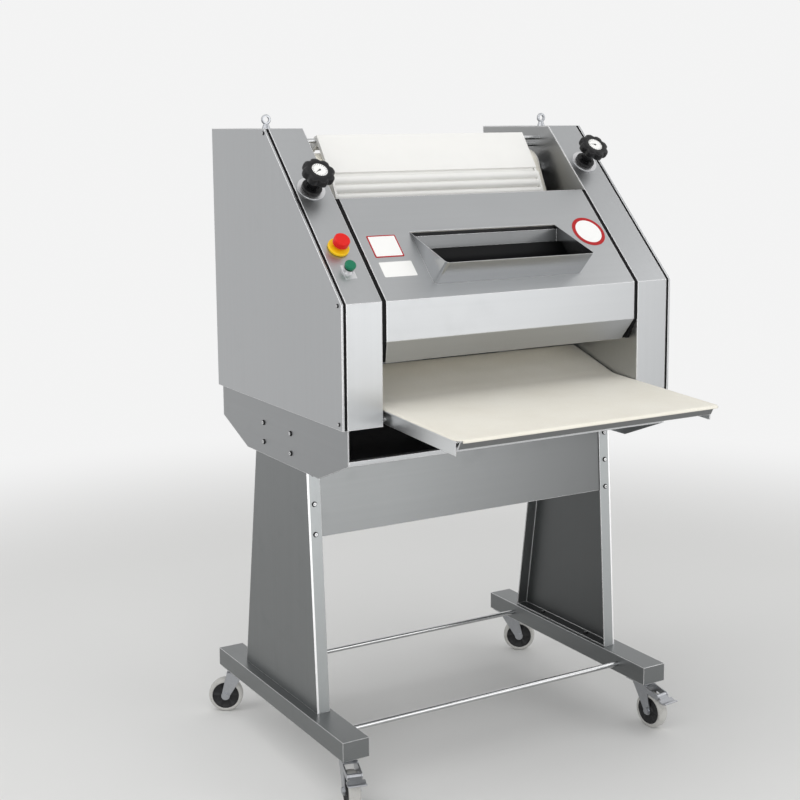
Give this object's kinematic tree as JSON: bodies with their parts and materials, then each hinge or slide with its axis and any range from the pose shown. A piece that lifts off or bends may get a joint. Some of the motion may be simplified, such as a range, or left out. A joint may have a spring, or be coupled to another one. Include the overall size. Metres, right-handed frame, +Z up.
{
  "type": "baguette moulder",
  "caption": "Floor-standing dough moulder on casters: sloped steel body with feed hopper, sheeting rollers, felt moulding belt, two dial handwheels and a felt-covered discharge tray.",
  "frame": {"origin": "on the floor, below the centre of the box around the machine with its tray pushed in", "axes": "+X to the right as seen from the front, +Y from the front to the rear, +Z up"},
  "size_m": [1.0773, 1.0759, 1.676],
  "materials": {
    "sheet_steel": "vertical brushed grain",
    "stand_steel": "fine brushed, darker",
    "bright_steel": "polished",
    "zinc": "zinc plated",
    "seal_rubber": "matt black",
    "belt_felt": "woven wool felt",
    "white_plastic": "satin white",
    "roller_black": "satin black coating",
    "knob_black": "moulded",
    "dial_white": "printed face",
    "stop_yellow": "moulded",
    "stop_red": "moulded",
    "start_green": "moulded",
    "motor_paint": "smooth paint",
    "drive_rubber": "matt",
    "tyre_grey": "non-marking grey"
  },
  "bodies": {
    "machine": {"left_foot_beam": "stand_steel", "right_foot_beam": "stand_steel", "left_leg": "stand_steel", "right_leg": "stand_steel", "aprons": "stand_steel", "tie_rods": "bright_steel", "stand_bolts": "bright_steel", "caster_plates": "zinc", "base_cheeks": "stand_steel", "base_floor": "stand_steel", "left_frame_plate": "sheet_steel", "right_frame_plate": "sheet_steel", "left_housing": "sheet_steel", "right_housing": "sheet_steel", "left_side_panel": "sheet_steel", "right_side_panel": "sheet_steel", "rubber_seals": "seal_rubber", "back_cover": "sheet_steel", "panel_screws": "bright_steel", "lifting_eyes": "bright_steel", "moulding_belt": "belt_felt", "belt_guard": "white_plastic", "guard_rods": "bright_steel", "guide_bars": "white_plastic", "roller_bearings": "zinc", "drive_motor": "motor_paint", "drive_belt": "drive_rubber", "scale_plates": "bright_steel", "spindle_bushes": "knob_black", "stop_base": "stop_yellow", "start_base": "bright_steel", "tray_rails": "sheet_steel"},
    "cover": {"front_cover": "sheet_steel", "feed_hopper": "bright_steel"},
    "tray": {"discharge_tray": "sheet_steel", "tray_felt": "belt_felt"},
    "front_sheeting_roller": {"front_sheeting_roller": "roller_black"},
    "rear_sheeting_roller": {"rear_sheeting_roller": "roller_black"},
    "roller_carriage": {"roller_carriage": "bright_steel"},
    "pressure_board": {"pressure_board": "bright_steel"},
    "belt_top_roller": {"belt_top_roller": "white_plastic"},
    "belt_drive_roller": {"belt_drive_roller": "white_plastic"},
    "motor_pulley": {"motor_pulley": "bright_steel"},
    "left_handwheel": {"left_handwheel": "knob_black", "left_dial": "dial_white"},
    "right_handwheel": {"right_handwheel": "knob_black", "right_dial": "dial_white"},
    "stop_head": {"stop_head": "stop_red"},
    "start_button": {"start_button": "start_green"},
    "caster_fl": {"caster_fork_fl": "zinc"},
    "wheel_fl": {"caster_wheel_fl": "tyre_grey"},
    "brake_fl": {"brake_pedal_fl": "zinc"},
    "caster_fr": {"caster_fork_fr": "zinc"},
    "wheel_fr": {"caster_wheel_fr": "tyre_grey"},
    "brake_fr": {"brake_pedal_fr": "zinc"},
    "caster_rl": {"caster_fork_rl": "zinc"},
    "wheel_rl": {"caster_wheel_rl": "tyre_grey"},
    "caster_rr": {"caster_fork_rr": "zinc"},
    "wheel_rr": {"caster_wheel_rr": "tyre_grey"}
  },
  "joints": [
    {"name": "cover_hinge", "type": "hinge", "parent": "machine", "child": "cover", "pos_m": [0, -0.2015, 1.156], "axis": [1, 0, 0], "range_deg": [0, 55]},
    {"name": "tray_slide", "type": "slide", "parent": "machine", "child": "tray", "axis": [0, -0.9988, -0.048], "range_m": [0, 0.15]},
    {"name": "belt_drive_spin", "type": "hinge", "parent": "machine", "child": "belt_drive_roller", "pos_m": [0, 0.0336, 1.11215], "axis": [1, 0, 0], "continuous": true},
    {"name": "belt_top_spin", "type": "hinge", "parent": "machine", "child": "belt_top_roller", "pos_m": [0, 0.2335, 1.522], "axis": [1, 0, 0], "continuous": true},
    {"name": "front_sheeting_spin", "type": "hinge", "parent": "machine", "child": "front_sheeting_roller", "pos_m": [0, -0.1335, 1.245], "axis": [1, 0, 0], "continuous": true},
    {"name": "motor_spin", "type": "hinge", "parent": "machine", "child": "motor_pulley", "pos_m": [0, 0.3715, 1.04], "axis": [1, 0, 0], "continuous": true},
    {"name": "left_handwheel_turn", "type": "hinge", "parent": "machine", "child": "left_handwheel", "pos_m": [-0.4335, 0.03606, 1.49456], "axis": [0, -0.7071, 0.7071], "range_deg": [0, 3240]},
    {"name": "carriage_slide", "type": "slide", "parent": "machine", "child": "roller_carriage", "axis": [0, 0.7071, -0.7071], "range_m": [0, 0.018]},
    {"name": "rear_sheeting_spin", "type": "hinge", "parent": "roller_carriage", "child": "rear_sheeting_roller", "pos_m": [0, -0.0475, 1.245], "axis": [1, 0, 0], "continuous": true},
    {"name": "right_handwheel_turn", "type": "hinge", "parent": "machine", "child": "right_handwheel", "pos_m": [0.4335, 0.08273, 1.54123], "axis": [0, -0.7071, 0.7071], "range_deg": [0, 2160]},
    {"name": "board_slide", "type": "slide", "parent": "machine", "child": "pressure_board", "axis": [0, 0.7071, -0.7071], "range_m": [0, 0.012]},
    {"name": "stop_push", "type": "slide", "parent": "machine", "child": "stop_head", "axis": [0, 0.7071, -0.7071], "range_m": [0, 0.005]},
    {"name": "start_push", "type": "slide", "parent": "machine", "child": "start_button", "axis": [0, 0.7071, -0.7071], "range_m": [0, 0.003], "stiffness_N_per_m": 400, "springref_m": -0.002},
    {"name": "swivel_fl", "type": "hinge", "parent": "machine", "child": "caster_fl", "pos_m": [-0.464, -0.1705, 0.118], "axis": [0, 0, 1], "continuous": true},
    {"name": "roll_fl", "type": "hinge", "parent": "caster_fl", "child": "wheel_fl", "pos_m": [-0.47306, -0.20431, 0.048], "axis": [0.9659, -0.2588, 0], "continuous": true},
    {"name": "brake_fl_press", "type": "hinge", "parent": "caster_fl", "child": "brake_fl", "pos_m": [-0.48186, -0.23715, 0.098], "axis": [0.9659, -0.2588, 0], "range_deg": [0, 12]},
    {"name": "swivel_fr", "type": "hinge", "parent": "machine", "child": "caster_fr", "pos_m": [0.464, -0.1705, 0.118], "axis": [0, 0, 1], "continuous": true},
    {"name": "roll_fr", "type": "hinge", "parent": "caster_fr", "child": "wheel_fr", "pos_m": [0.46705, -0.20537, 0.048], "axis": [0.9962, 0.0872, 0], "continuous": true},
    {"name": "brake_fr_press", "type": "hinge", "parent": "caster_fr", "child": "brake_fr", "pos_m": [0.47001, -0.23924, 0.098], "axis": [0.9962, 0.0872, 0], "range_deg": [0, 12]},
    {"name": "swivel_rl", "type": "hinge", "parent": "machine", "child": "caster_rl", "pos_m": [-0.464, 0.4895, 0.118], "axis": [0, 0, 1], "continuous": true},
    {"name": "roll_rl", "type": "hinge", "parent": "caster_rl", "child": "wheel_rl", "pos_m": [-0.49431, 0.507, 0.048], "axis": [-0.5, -0.866, 0], "continuous": true},
    {"name": "swivel_rr", "type": "hinge", "parent": "machine", "child": "caster_rr", "pos_m": [0.464, 0.4895, 0.118], "axis": [0, 0, 1], "continuous": true},
    {"name": "roll_rr", "type": "hinge", "parent": "caster_rr", "child": "wheel_rr", "pos_m": [0.49195, 0.46844, 0.048], "axis": [0.6018, 0.7986, 0], "continuous": true}
  ],
  "couplings": [
    {"joint": "belt_top_spin", "follows": "belt_drive_spin", "ratio": 1},
    {"joint": "front_sheeting_spin", "follows": "belt_drive_spin", "ratio": -1},
    {"joint": "rear_sheeting_spin", "follows": "belt_drive_spin", "ratio": 1},
    {"joint": "motor_spin", "follows": "belt_drive_spin", "ratio": 1},
    {"joint": "left_handwheel_turn", "follows": "carriage_slide", "rad_per_m": 3141.6},
    {"joint": "right_handwheel_turn", "follows": "board_slide", "rad_per_m": 3141.6}
  ]
}
